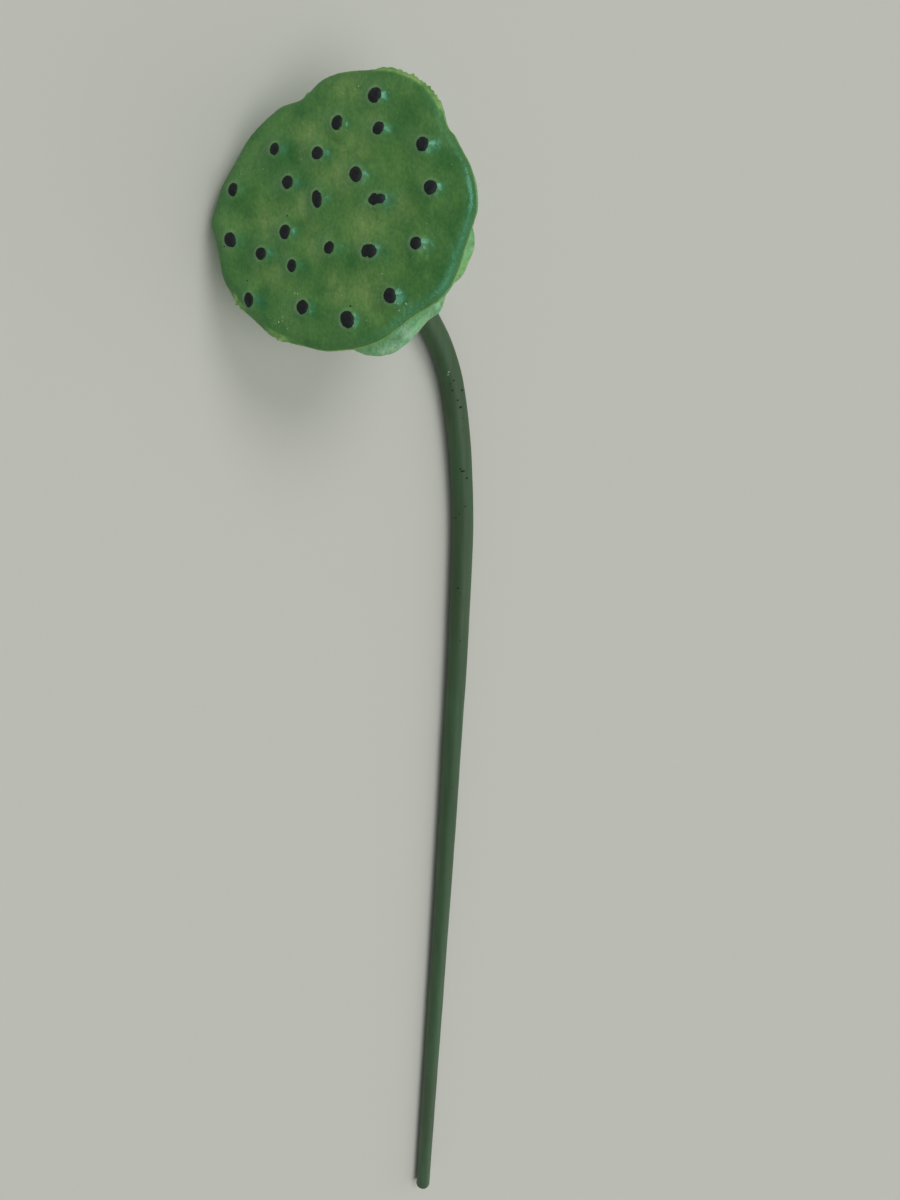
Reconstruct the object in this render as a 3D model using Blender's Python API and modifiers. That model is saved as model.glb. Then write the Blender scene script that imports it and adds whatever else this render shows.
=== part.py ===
"""A lotus seed pod on its cut stem, lying on a surface.

The broad seed head leans on the low side of its cup, with its face turned up to one side.
The stem leaves the neck of the cup, bends down and runs along the surface.
The origin is the middle of the flat spot that the head rests on, and the stem runs towards -Y.
"""
import math

import bmesh
import bpy
from mathutils import Matrix, Vector

MM = 0.001

# Seed head, in its own frame: the face looks up +Z, its twelve o'clock is +Y and the stem is below
FACE_RADIUS = 39.5 * MM         # where the face starts to turn down
EDGE_RADIUS = 44.0 * MM         # widest ring of the turned-down edge
EDGE_DROP = 4.6 * MM            # how far the edge turns down
FACE_DOME = 2.4 * MM            # rise of the middle of the face
LIP_OUT = 0.7 * MM              # thin lip that stands out under the edge
LIP_HEIGHT = 1.4 * MM
GROOVE_RADIUS = 42.6 * MM       # crease between the lip and the cup
GROOVE_DEPTH = 7.0 * MM
SHOULDER_RADIUS = 43.0 * MM     # fullest ring of the cup
SHOULDER_DEPTH = 9.0 * MM
NECK_RADIUS = 6.8 * MM
NECK_END = 45.0 * MM            # how far below the face's edge the neck ends
CUP_FULLNESS = 1.6              # a fuller bowl below the shoulder
CUP_FLARE = 1.35                # a softer run into the neck
CUP_FOLLOW = 0.6                # share of the outline's lobes that the cup takes up
LOBES_END = 0.85 * NECK_END     # the cup's lobes and bulges have faded out at this depth
NECK_SHIFT = 4.0 * MM           # the neck sits off the middle, away from the low side
NECK_SHIFT_END = 0.75 * NECK_END        # and reaches that shift at this depth
SOCKET_LENGTH = 9.0 * MM
TURN_STEPS = 84
FACE_RINGS = 15
EDGE_RINGS = 4
CUP_RINGS = 17
MERGE_DISTANCE = 0.05 * MM      # points closer than this at the middle of the turned shape are one

# Uneven outline of the head: middle angle, half width and rise of each lobe or notch, in degrees and mm
LOBES = (
    (62, 20, 4.6), (92, 12, 1.6), (109, 7, -1.6), (34, 6, -1.6), (22, 12, -2.0), (176, 34, 5.0),
    (206, 11, 2.9), (228, 13, 2.8), (318, 36, -4.5), (297, 14, -1.2), (335, 12, -0.8),
)

# Broad bulges and the dents between them round the cup, written in the same way
CUP_BULGES = (
    (285, 17, 4.9), (316, 8, 0.6), (337, 14, 1.5), (50, 14, 1.2), (84, 12, 0.8), (118, 14, 1.4),
    (188, 14, 1.5), (222, 12, 0.8), (322, 6, -0.9), (355, 8, -1.4), (32, 7, -1.6), (67, 8, -1.7),
    (101, 7, -1.6), (135, 8, -1.7), (170, 7, -1.6), (205, 8, -1.7), (238, 7, -1.5), (263, 7, -1.2),
)

# Low waves of the face between the seeds: height, length, how much longer they are along Y, and their start
SWELL = 0.35 * MM
SWELL_LENGTH = 7.5 * MM
SWELL_STRETCH = 1.25
SWELL_START = (0.8, -0.4)

# Raised seeds: distance from the middle and clock angle of each, and its dark tip's width and length, in mm
SEED_RISE = 2.7 * MM
SEED_SPREAD = 4.4 * MM
TIP_THICKNESS = 1.1 * MM        # half its height
TIP_SINK = 0.4 * MM
SEEDS = (
    (11.5, 63, 4.2, 5.0), (11.5, 8, 5.8, 3.8), (16, 297, 5.2, 4.4), (13, 242, 3.4, 4.0),
    (10, 152, 3.5, 5.6), (27.5, 60, 3.6, 4.2), (29.5, 6, 4.2, 4.6), (27, 329, 3.8, 4.0),
    (25, 218, 3.2, 4.1), (21.5, 191, 3.8, 4.7), (22, 148, 3.9, 4.3), (20.5, 111, 4.0, 4.1),
    (28, 90, 3.6, 4.8), (32.5, 31, 4.0, 4.5), (32, 294, 4.2, 4.8), (35, 266, 4.7, 5.6),
    (34, 239, 4.2, 4.5), (44, 213, 3.4, 4.9), (32, 198, 3.8, 4.1), (41.5, 185, 4.3, 5.1),
    (40.5, 162, 3.5, 4.5), (32, 134, 3.2, 4.1), (37, 69, 4.4, 4.8),
)
TIP_SEGMENTS = 10
TIP_RINGS = 6

# How the head lies: its lean from upright and the compass angle that it leans to, in degrees
HEAD_LEAN = 51.0
HEAD_TOWARD = 155.0
HEAD_PLACE = Vector((14.4, -6.8, 41.2)) * MM     # middle of the face's edge plane

# Stem
STEM_RADIUS = 5.2 * MM          # at the neck
STEM_END_RADIUS = 4.4 * MM
STEM_GAP = 0.3 * MM             # clearance in the socket
STEM_STRAIGHT = 4.0 * MM        # it runs on straight below the neck for this far
STEM_SETTLE = 60.0 * MM         # and lies along the surface after this length
STEM_BEND_SPACING = 6.0 * MM    # between the points of its centre line, in the bend
STEM_SPACING = 14.0 * MM        # and along the rest
STEM_SIDE_RESOLUTION = 4
BEND_END_Y = -130.0 * MM        # the stem is nearly straight past this line
# Points of the stem's centre line in mm: the bend below the head, then the run along the surface
STEM_BEND = ((57.5, -29.3, 8.8), (64.6, -38.8, 6.0))
STEM_RUN = (
    (71.7, -50.1), (77.8, -60.5), (82.1, -71.4), (84.7, -81.4), (87.4, -98.5), (89.2, -117.4),
    (90.2, -137.0), (90.1, -157.0), (89.0, -184.6), (87.0, -226.3), (84.6, -263.0), (81.9, -307.7),
    (77.8, -369.2), (72.6, -443.7), (66.5, -529.0), (60.9, -607.5),
)

# Colours and roughness of the two skins
POD_GREEN = (0.055, 0.135, 0.037)
POD_ROUGHNESS = 0.45
STEM_GREEN = (0.038, 0.076, 0.039)
STEM_ROUGHNESS = 0.42


def material(name, colour, roughness):
    """A Principled material with one colour."""
    mat = bpy.data.materials.new(name)
    mat.use_nodes = True
    shader = mat.node_tree.nodes["Principled BSDF"]
    shader.inputs["Base Color"].default_value = (*colour, 1.0)
    shader.inputs["Roughness"].default_value = roughness
    shader.inputs["Metallic"].default_value = 0.0
    return mat


def smooth_step(value):
    """0 below 0, 1 above 1, and an even rise between them."""
    t = min(max(value, 0.0), 1.0)
    return t * t * (3.0 - 2.0 * t)


def bell(offset, width):
    """A round hump of height 1."""
    return math.exp(-(offset / width) ** 2)


def turn_between(a, b):
    """Smallest angle between two compass angles, in degrees."""
    return (a - b + 180.0) % 360.0 - 180.0


def lobes_at(angle, lobes):
    """How far the lobes and notches move the outline at an angle in degrees."""
    return MM * sum(rise * bell(turn_between(angle, middle), width) for middle, width, rise in lobes)


def seed_places():
    """Middle of each raised seed in the plane of the face."""
    return [
        Vector((distance * math.cos(math.radians(angle)), distance * math.sin(math.radians(angle)))) * MM
        for distance, angle, _, _ in SEEDS
    ]


def before_lobes(radius, angle):
    """Distance from the middle that the lobes moved to this radius."""
    lobes = lobes_at(angle, LOBES) / EDGE_RADIUS ** 2
    return 2.0 * radius / (1.0 + math.sqrt(1.0 + 4.0 * lobes * radius))


def face_height(x, y, seeds):
    """Height of the face and its turned-down edge, with the raised seeds and the swell between them."""
    radius = before_lobes(math.hypot(x, y), math.degrees(math.atan2(y, x)))
    out = min(max((radius - FACE_RADIUS) / (EDGE_RADIUS - FACE_RADIUS), 0.0), 1.0)
    dome = FACE_DOME * max(1.0 - (radius / FACE_RADIUS) ** 2, 0.0)
    drop = EDGE_DROP * (1.0 - math.sqrt(1.0 - out * out))
    seed_rise = SEED_RISE * max(bell(math.hypot(x - seed.x, y - seed.y), SEED_SPREAD) for seed in seeds)
    across = math.sin(x / SWELL_LENGTH + SWELL_START[0])
    swell = SWELL * across * math.cos(y / (SWELL_STRETCH * SWELL_LENGTH) + SWELL_START[1])
    return dome - drop + (seed_rise + swell) * (1.0 - smooth_step(out))


def head_profile():
    """Half outline of the head: out along the face, over the edge, down the cup, up into the socket."""
    points = []
    for i in range(FACE_RINGS):
        t = i / FACE_RINGS
        points.append((FACE_RADIUS * t, FACE_DOME * (1.0 - t * t)))
    for i in range(EDGE_RINGS + 1):
        turn = 0.5 * math.pi * i / EDGE_RINGS
        round_out = (EDGE_RADIUS - FACE_RADIUS) * math.sin(turn)
        points.append((FACE_RADIUS + round_out, -EDGE_DROP * (1.0 - math.cos(turn))))
    points.append((EDGE_RADIUS + LIP_OUT, -EDGE_DROP - 0.5 * LIP_HEIGHT))
    points.append((EDGE_RADIUS, -EDGE_DROP - LIP_HEIGHT))
    points.append((GROOVE_RADIUS, -GROOVE_DEPTH))
    for i in range(CUP_RINGS + 1):
        t = i / CUP_RINGS
        spread = (1.0 - t ** CUP_FULLNESS) ** CUP_FLARE
        depth = SHOULDER_DEPTH + (NECK_END - SHOULDER_DEPTH) * t
        points.append((NECK_RADIUS + (SHOULDER_RADIUS - NECK_RADIUS) * spread, -depth))
    socket_radius = STEM_RADIUS + STEM_GAP
    socket_top = -NECK_END + SOCKET_LENGTH
    points.append((socket_radius, -NECK_END))
    points.append((socket_radius, socket_top))
    points.append((0.0, socket_top))
    return points


def turned_mesh(name, profile):
    """Mesh of a profile turned a full round about Z."""
    mesh = bpy.data.meshes.new(name)
    edges = [(i, i + 1) for i in range(len(profile) - 1)]
    mesh.from_pydata([(radius, 0.0, height) for radius, height in profile], edges, [])
    obj = bpy.data.objects.new(name, mesh)
    bpy.context.scene.collection.objects.link(obj)
    screw = obj.modifiers.new("Turn", "SCREW")
    screw.steps = TURN_STEPS
    screw.render_steps = TURN_STEPS
    screw.use_merge_vertices = True
    screw.merge_threshold = MERGE_DISTANCE
    turned = bpy.data.meshes.new_from_object(obj.evaluated_get(bpy.context.evaluated_depsgraph_get()))
    bpy.data.objects.remove(obj)
    bpy.data.meshes.remove(mesh)
    turned.name = name
    return turned


def shape_head(mesh):
    """Give the turned head its uneven outline, its seeds, the bulges of its cup and its offset neck."""
    seeds = seed_places()
    away = high_side() * NECK_SHIFT
    for vertex in mesh.vertices:
        x, y, z = vertex.co
        radius = math.hypot(x, y)
        angle = math.degrees(math.atan2(y, x))
        if z > -EDGE_DROP - 0.25 * LIP_HEIGHT:
            stretch = 1.0 + radius * lobes_at(angle, LOBES) / EDGE_RADIUS ** 2
            vertex.co = (x * stretch, y * stretch, face_height(x * stretch, y * stretch, seeds))
        elif radius > NECK_RADIUS:
            down = smooth_step((-z - GROOVE_DEPTH) / (SHOULDER_DEPTH - GROOVE_DEPTH))
            fade = 1.0 - smooth_step((-z - SHOULDER_DEPTH) / (LOBES_END - SHOULDER_DEPTH))
            outline = (1.0 - (1.0 - CUP_FOLLOW) * down) * lobes_at(angle, LOBES)
            stretch = 1.0 + fade * (outline + down * lobes_at(angle, CUP_BULGES)) / radius
            vertex.co = (x * stretch, y * stretch, z)
        depth = -vertex.co.z
        vertex.co += away * smooth_step((depth - SHOULDER_DEPTH) / (NECK_SHIFT_END - SHOULDER_DEPTH))


def high_side():
    """Direction in the head's own frame that points away from its low side."""
    return Vector((-math.cos(math.radians(HEAD_TOWARD)), -math.sin(math.radians(HEAD_TOWARD)), 0.0))


def head_matrix():
    """Place of the head: it leans over, towards one side, without turning about its own middle."""
    toward = Matrix.Rotation(math.radians(HEAD_TOWARD), 4, "Z")
    lean = Matrix.Rotation(math.radians(HEAD_LEAN), 4, "Y")
    return Matrix.Translation(HEAD_PLACE) @ toward @ lean @ toward.inverted()


def add_tips(head, cutters):
    """Fuse a low dark tip onto the top of each raised seed."""
    seeds = seed_places()
    for number, (place, seed) in enumerate(zip(seeds, SEEDS), start=1):
        _, _, width, length = seed
        top = face_height(place.x, place.y, seeds)
        mesh = bpy.data.meshes.new(f"tip_{number}")
        bm = bmesh.new()
        bmesh.ops.create_uvsphere(bm, u_segments=TIP_SEGMENTS, v_segments=TIP_RINGS, radius=1.0)
        size = Matrix.Diagonal((0.5 * width * MM, 0.5 * length * MM, TIP_THICKNESS, 1.0))
        on_face = Matrix.Translation((place.x, place.y, top - TIP_SINK))
        bmesh.ops.transform(bm, matrix=on_face @ size, verts=bm.verts)
        bm.to_mesh(mesh)
        bm.free()
        cutters.objects.link(bpy.data.objects.new(f"tip_{number}", mesh))
    union = head.modifiers.new("Tips", "BOOLEAN")
    union.operation = "UNION"
    union.operand_type = "COLLECTION"
    union.collection = cutters
    union.solver = "EXACT"
    joined = bpy.data.meshes.new_from_object(head.evaluated_get(bpy.context.evaluated_depsgraph_get()))
    head.modifiers.clear()
    head.data = joined
    for tip in list(cutters.objects):
        bpy.data.objects.remove(tip)


def cut_rest_flat(mesh, matrix):
    """Cut off what reaches below the surface, which leaves the flat spot that the head rests on."""
    to_head = matrix.inverted()
    surface = to_head @ Vector((0, 0, 0))
    below = to_head.to_3x3() @ Vector((0, 0, -1))
    bm = bmesh.new()
    bm.from_mesh(mesh)
    cut = bmesh.ops.bisect_plane(
        bm, geom=[*bm.verts, *bm.edges, *bm.faces], dist=1e-6, plane_co=surface, plane_no=below,
        clear_outer=True,
    )
    rim = [item for item in cut["geom_cut"] if isinstance(item, bmesh.types.BMEdge)]
    bmesh.ops.edgeloop_fill(bm, edges=rim)
    bmesh.ops.recalc_face_normals(bm, faces=bm.faces)
    bm.to_mesh(mesh)
    bm.free()


def make_seed_head(parts, cutters):
    """The head: face with raised seeds, turned-down edge, cup, and neck with the stem's socket."""
    mesh = turned_mesh("seed_head", head_profile())
    shape_head(mesh)
    head = bpy.data.objects.new("seed_head", mesh)
    parts.objects.link(head)
    add_tips(head, cutters)
    cut_rest_flat(head.data, head_matrix())
    head.data.shade_smooth()
    head.data.materials.clear()
    head.data.materials.append(material("pod_green", POD_GREEN, POD_ROUGHNESS))
    frame = bpy.data.objects.new("head_frame", None)
    frame.matrix_world = head_matrix()
    parts.objects.link(frame)
    head.parent = frame
    return head


def stem_controls():
    """Points that the stem's centre line passes through, from the top of the socket to the cut end."""
    heights = (SOCKET_LENGTH - STEM_GAP, 0.5 * SOCKET_LENGTH, 0.0, -STEM_STRAIGHT)
    away = high_side() * NECK_SHIFT
    in_neck = [head_matrix() @ (away + Vector((0, 0, height - NECK_END))) for height in heights]
    bend = [Vector(place) * MM for place in STEM_BEND]
    run = [Vector((x * MM, y * MM, STEM_RADIUS)) for x, y in STEM_RUN]
    return [*in_neck, *bend, *run]


def smooth_through(points):
    """Points along a smooth curve through the given ones, closer together in the bend."""
    padded = [2 * points[0] - points[1], *points, 2 * points[-1] - points[-2]]
    result = []
    for before, start, end, after in zip(padded, padded[1:], padded[2:], padded[3:]):
        spacing = STEM_BEND_SPACING if start.y > BEND_END_Y else STEM_SPACING
        count = max(1, round((end - start).length / spacing))
        for i in range(count):
            t = i / count
            result.append(0.5 * (
                2 * start + (end - before) * t + (2 * before - 5 * start + 4 * end - after) * t ** 2
                + (3 * start - before - 3 * end + after) * t ** 3
            ))
    return [*result, points[-1]]


def make_stem(parts):
    """The stem: a round tube that thins a little towards its cut end and lies along the surface."""
    line = smooth_through(stem_controls())
    lengths = [0.0]
    for a, b in zip(line, line[1:]):
        lengths.append(lengths[-1] + (b - a).length)
    curve = bpy.data.curves.new("stem", "CURVE")
    curve.dimensions = "3D"
    curve.twist_mode = "Z_UP"
    curve.bevel_depth = STEM_RADIUS
    curve.bevel_resolution = STEM_SIDE_RESOLUTION
    curve.use_fill_caps = True
    spline = curve.splines.new("POLY")
    spline.points.add(len(line) - 1)
    for point, place, length in zip(spline.points, line, lengths):
        thin = (STEM_END_RADIUS / STEM_RADIUS - 1.0) * smooth_step(length / lengths[-1])
        lie = STEM_RADIUS * thin * smooth_step(length / STEM_SETTLE)
        point.co = (place.x, place.y, max(place.z, STEM_RADIUS) + lie, 1.0)
        point.radius = 1.0 + thin
    curve.materials.append(material("stem_green", STEM_GREEN, STEM_ROUGHNESS))
    stem = bpy.data.objects.new("stem", curve)
    parts.objects.link(stem)
    return stem


def main():
    """Clear the scene and make the seed head and the stem."""
    for obj in list(bpy.data.objects):
        bpy.data.objects.remove(obj)
    parts = bpy.data.collections.new("lotus_seed_pod")
    cutters = bpy.data.collections.new("fused_into_head")
    bpy.context.scene.collection.children.link(parts)
    bpy.context.scene.collection.children.link(cutters)
    make_seed_head(parts, cutters)
    make_stem(parts)


main()
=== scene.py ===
"""Looks of a lotus seed pod that lies on a pale surface: a broad green seed head and its long curved stem."""
import math

import bmesh
import bpy
import numpy as np
from mathutils import Matrix, Vector, noise


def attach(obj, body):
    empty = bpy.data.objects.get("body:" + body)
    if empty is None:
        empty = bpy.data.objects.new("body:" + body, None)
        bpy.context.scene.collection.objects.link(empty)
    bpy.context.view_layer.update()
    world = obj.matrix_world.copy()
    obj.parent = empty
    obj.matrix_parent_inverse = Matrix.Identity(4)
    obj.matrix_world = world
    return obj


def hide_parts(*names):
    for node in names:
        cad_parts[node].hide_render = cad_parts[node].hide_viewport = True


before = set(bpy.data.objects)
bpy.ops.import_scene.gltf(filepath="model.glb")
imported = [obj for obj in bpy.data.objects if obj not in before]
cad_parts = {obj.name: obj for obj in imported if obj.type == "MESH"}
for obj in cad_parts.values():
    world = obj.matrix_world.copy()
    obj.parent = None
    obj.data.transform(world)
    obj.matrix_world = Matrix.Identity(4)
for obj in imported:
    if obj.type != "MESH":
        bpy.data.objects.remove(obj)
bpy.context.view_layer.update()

MM = 0.001

# Seed head, in its own frame: the face looks up +Z, its twelve o'clock is +Y and the stem is below
EDGE_RADIUS = 44.0 * MM         # widest ring of the turned-down edge
EDGE_DROP = 2.1 * MM            # how far the edge turns down
FACE_DOME = 2.4 * MM            # rise of the middle of the face
LIP_OUT = 0.7 * MM              # thin lip that stands out under the edge
LIP_HEIGHT = 1.4 * MM
GROOVE_RADIUS = 42.6 * MM       # crease between the lip and the cup
GROOVE_DEPTH = 7.0 * MM
SHOULDER_RADIUS = 43.0 * MM     # fullest ring of the cup
SHOULDER_DEPTH = 9.0 * MM
NECK_RADIUS = 6.8 * MM
NECK_END = 45.0 * MM            # how far below the face's edge the neck ends
CUP_FULLNESS = 1.6              # a fuller bowl below the shoulder
CUP_FLARE = 1.35                # a softer run into the neck
CUP_FOLLOW = 0.6                # share of the outline's lobes that the cup takes up
LOBES_END = 0.85 * NECK_END     # the cup's lobes and bulges have faded out at this depth
NECK_SHIFT = 4.0 * MM           # the neck sits off the middle, away from the low side
NECK_SHIFT_END = 0.75 * NECK_END        # and reaches that shift at this depth
SOCKET_LENGTH = 9.0 * MM
SOCKET_ROUNDING = 0.5 * MM      # rounded rim of the neck round the socket
SOCKET_RIM = 0.3 * MM           # and how far it stands out below
SOCKET_POINT = 0.05 * MM        # radius of the smallest ring on the socket's floor

# Uneven outline of the head: middle angle, half width and rise of each lobe or notch, in degrees and mm
LOBES = (
    (62, 20, 4.6), (92, 12, 1.6), (109, 7, -1.6), (34, 6, -1.6), (22, 12, -2.0), (176, 34, 5.0),
    (206, 11, 2.9), (228, 13, 2.8), (318, 36, -4.5), (297, 14, -1.2), (335, 12, -0.8),
)
# Small corners of the outline, written in the same way
EDGE_CORNERS = (
    (149, 9, -0.9), (175, 4, 1.1), (107, 5, -0.5), (196, 7, 0.6), (252, 6, 0.5), (14, 12, 0.4),
    (66, 14, -0.3), (70, 18, -0.95), (97, 16, -0.85), (124, 18, -1.05), (157, 18, -1.15), (188, 12, -0.6),
    (205, 6, -0.9), (355, 7, 0.6), (250, 12, 0.35), (322, 20, 2.5), (315, 12, 0.8), (102, 4, -0.5),
    (58, 7, -0.4),
)
# Broad bulges and the dents between them round the cup, then its small corners
CUP_BULGES = (
    (285, 17, 4.9), (316, 8, 0.6), (337, 14, 1.5), (50, 14, 1.2), (84, 12, 0.8), (118, 14, 1.4),
    (188, 14, 1.5), (222, 12, 0.8), (322, 6, -0.9), (355, 8, -1.4), (32, 7, -1.6), (67, 8, -1.7),
    (101, 7, -1.6), (135, 8, -1.7), (170, 7, -1.6), (205, 8, -1.7), (238, 7, -1.5), (263, 7, -1.2),
)
CUP_CORNERS = ((327, 6, 1.5), (268, 6, 0.9), (290, 6, -0.5), (309, 5, 2.0), (340, 6, 0.8))
# Sharp creases down the cup between its bulges
CREASES = (
    (318, 3.5, -0.7), (352, 4, -0.9), (258, 4, -0.8), (238, 4, -0.9), (205, 4, -1.0), (170, 4, -0.9),
    (135, 4, -1.0), (101, 4, -0.9), (67, 4, -1.0), (32, 4, -0.9), (8, 4, -0.7),
)

# How the edge of the face turns down
EDGE_SQUARENESS = 2.2           # it turns down later than a round one, whose value is 2
TURN_WIDTH = 3.2 * MM           # it starts to turn this far inside the widest ring
TURN_WIDER = ((322, 45, 1.6),)  # and where it starts further in: middle angle, half width and how much, in mm

# Torn stretches of the lip: middle angle, half width and reach, in degrees and mm
FRAY = (
    (44, 6, 0.5), (52, 5, 0.6), (60, 6, 0.7), (69, 4, 0.6), (105, 1.5, 0.5), (209.5, 3, 1.3), (232, 5.5, 0.7),
)
FRAY_LUMP = 0.6 * MM            # size of the finest teeth
FRAY_OUT = (0.4, 1.0)           # shares of the reach that stand out everywhere, and in the teeth
FRAY_UP = 0.5                   # share of the reach that the teeth bend up
FRAY_LIFT = 0.5                 # share of the edge's drop that a torn stretch keeps back
FRAY_FULL = 0.6 * MM            # reach at which it keeps back all of that
LIP_WAVE_LENGTH = 6.0 * MM      # the whole lip waves a little
LIP_WAVE_OUT = 0.25 * MM
LIP_WAVE_UP = 0.15 * MM
LIP_INSET = 0.2 * MM            # and lies this much further in than an even one

# Low waves of the face between the seeds: height, length, how much longer they are along Y, and their start
SWELL = 0.35 * MM
SWELL_LENGTH = 7.5 * MM
SWELL_STRETCH = 1.25
SWELL_START = (0.8, -0.4)
# Uneven surfaces: height and size of the lumps, and how many finer sizes are in them
FACE_LUMPS = ((0.20 * MM, 7.0 * MM, 3), (0.05 * MM, 1.6 * MM, 2))
CUP_LUMPS = ((0.35 * MM, 9.0 * MM, 3), (0.07 * MM, 2.5 * MM, 3))
EDGE_SMOOTHING = 0.8            # share of the face's lumps that the turned edge loses

# Seeds: distance from the middle and clock angle of each, and its dark tip's width and length, in mm
SEEDS = (
    (11.5, 63, 4.2, 5.0), (11.5, 8, 5.8, 3.8), (16, 297, 5.2, 4.4), (13, 242, 3.4, 4.0),
    (10, 152, 3.5, 5.6), (27.5, 60, 3.6, 4.2), (29.5, 6, 4.2, 4.6), (27, 329, 3.8, 4.0),
    (25, 218, 3.2, 4.1), (21.5, 191, 3.8, 4.7), (22, 148, 3.9, 4.3), (20.5, 111, 4.0, 4.1),
    (28, 90, 3.6, 4.8), (32.5, 31, 4.0, 4.5), (32, 294, 4.2, 4.8), (35, 266, 4.7, 5.6),
    (34, 239, 4.2, 4.5), (44, 213, 3.4, 4.9), (32, 198, 3.8, 4.1), (41.5, 185, 4.3, 5.1),
    (40.5, 162, 3.5, 4.5), (32, 134, 3.2, 4.1), (37, 69, 4.4, 4.8),
)
# Each is a broad mound with a narrow, steep-sided peak on it and a shallow ring round it
SEED_MOUND = 1.2 * MM
SEED_MOUND_SPREAD = 6.0 * MM
SEED_PEAK_SPREAD = 3.1 * MM
SEED_PEAK_STEEPNESS = 3.5
MOAT_RADIUS = 7.0 * MM
MOAT_WIDTH = 2.2 * MM
MOAT_DEPTH = 0.12 * MM
# Height of each peak in mm, in the order of SEEDS
SEED_PEAKS = (
    0.72, 0.50, 0.60, 0.60, 0.75, 0.78, 0.82, 0.78, 0.72, 0.80, 0.80, 0.75,
    0.55, 1.15, 1.40, 0.92, 0.75, 0.70, 0.85, 0.90, 0.90, 0.68, 0.98,
)

# Dark tips of the seeds, which stand a little proud of them
TIP_RISE = 0.25 * MM
TIP_EDGE = 0.04 * MM
TIP_SIDES = 48
# How far each tip leans clockwise, in degrees, in the order of SEEDS
TIP_LEANS = (-10, 0, 0, 30, -5, 30, 0, 0, 10, 12, 20, 25, 15, 0, -10, -10, 20, 5, 0, -20, 15, 20, 25)
# Notches in the outline of two tips: their number in SEEDS, then middle angle, half width and share cut away
TIP_NOTCHES = ((1, 70, 20, 0.30), (1, -80, 22, 0.22), (2, -112, 13, 0.30))
# Uneven outline of each tip: share of its reach, size of the lumps on a circle of radius 1, and finer sizes
TIP_ROUGHNESS = ((0.10, 0.8, 2), (0.06, 0.18, 2))
TIP_APART = 7.0                 # between the tips' circles in the noise
# Section of a tip: share of its reach, and share of its rise there
TIP_PROFILE = (
    (0.02, 1.0), (0.25, 0.97), (0.5, 0.9), (0.7, 0.78), (0.85, 0.58), (0.94, 0.35), (1.0, 0.0), (0.97, -0.6),
)

# Tiny dark specks on the face: distance from the middle, clock angle and size, in mm
SPECKS = ((20.3, 176, 0.6), (41.0, 205, 0.6), (30.6, 268, 0.8), (44.2, 187, 0.5))
# Tiny pale specks on the face, in the same way
PALE_SPECKS = (
    (29.9, 329, 0.9), (36.7, 299, 0.9), (37.1, 294, 0.8), (35.9, 276, 0.7), (42.0, 293.5, 1.0),
    (41.2, 291, 0.6), (24.0, 296, 0.8), (31.3, 312, 0.5), (39.9, 154, 0.5), (32.9, 147, 0.6),
    (38.6, 150, 0.5), (32.3, 112, 0.5), (20.7, 170, 0.7), (21.4, 172, 0.5), (25.3, 84, 0.5),
    (39.3, 63, 0.4), (39.8, 79, 0.7), (38.6, 80, 0.5), (34.6, 54.5, 0.5), (37.7, 15, 0.5),
    (43.0, 226, 0.5), (42.4, 230, 0.8), (41.4, 231.5, 0.6), (43.4, 231, 0.5), (42.8, 235, 0.7),
    (38.8, 235, 0.5), (31.0, 232, 0.6), (31.8, 235, 0.5), (36.4, 228, 0.5), (37.2, 221, 0.6),
    (30.5, 245, 0.4), (27.0, 262, 0.5), (15.0, 318, 0.4), (12.2, 335, 0.4), (33.0, 120, 0.4),
    (28.0, 344, 0.4),
)
SPECK_WIDTH = 0.6               # share of a speck's length
SPECK_TURN = 2.4                # each speck is turned on from the one before by this, in radians

# Straw-coloured and dark patches of the face: distance from the middle, clock angle and reach, in mm
STRAW = (
    (28, 111, 6), (20, 82, 7), (12, 98, 7), (8, 327, 6), (26.7, 179, 6), (30, 210, 6), (25.3, 259, 6),
    (27, 280, 6), (41, 85, 6), (18.6, 355, 5), (30, 67, 4), (15, 164, 5), (15, 215, 6), (12, 300, 5),
)
DARK = (
    (36, 111, 4), (26, 130, 4), (38, 166, 4.5), (40, 196, 4.5), (23.6, 225, 3.5), (25.6, 244, 3.5),
    (36, 48, 4.5), (28, 353, 5), (36, 318, 7), (41, 335, 6), (40.5, 217, 4), (33.6, 248, 3.5), (37, 17, 5),
    (16.3, 270, 3),
)
# Chalky patches with still finer pale specks, in the same way
CHALK = (
    (38, 150, 4), (33, 147, 3), (38, 84, 4), (31, 231, 4), (42, 233, 5), (31, 326, 2.5), (36, 296, 3),
    (20, 284, 2.5), (19.5, 170, 2.5), (28.5, 318, 2), (39, 221, 3), (24, 123, 2), (31, 52, 2),
)
# Yellow stretches of the cup under the lip: middle angle, half width and strength
WARM = ((326, 14, 1.4), (297, 6, 0.5), (262, 9, 0.6), (60, 20, 0.6), (190, 25, 0.5))
WARM_REACH = 8.0 * MM           # how far the yellow reaches down the cup
# Glossy stretches of the face's edge, which also carry a painted teal sheen, in the same way
GLOSS_AND_PAINTED_SHEEN = ((325, 32, 1.0), (4, 14, 0.8), (292, 14, 0.7))
GLOSS_AND_SHEEN_RADIUS = 42.8 * MM
GLOSS_AND_SHEEN_REACH = 1.6 * MM
TORN_START = 42.5 * MM          # the yellow-green of the torn lip starts here on the face
TORN_RISE = 1.0 * MM
TORN_FULL = 0.4 * MM            # reach at which a torn stretch is all of that colour
CUP_START = 0.6                 # the cup's own colours start at this share of the lip's height
CUP_RISE = 1.5 * MM
# Patches beside each seed, a dark one that is partly the pod's own paint and partly painted shade, and a
# painted highlight: offset to the right, offset up and reach, in mm
# Dark patch, partly the pod's own paint and partly painted shade
HALO = (3.6, -0.8, 3.5)
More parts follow.
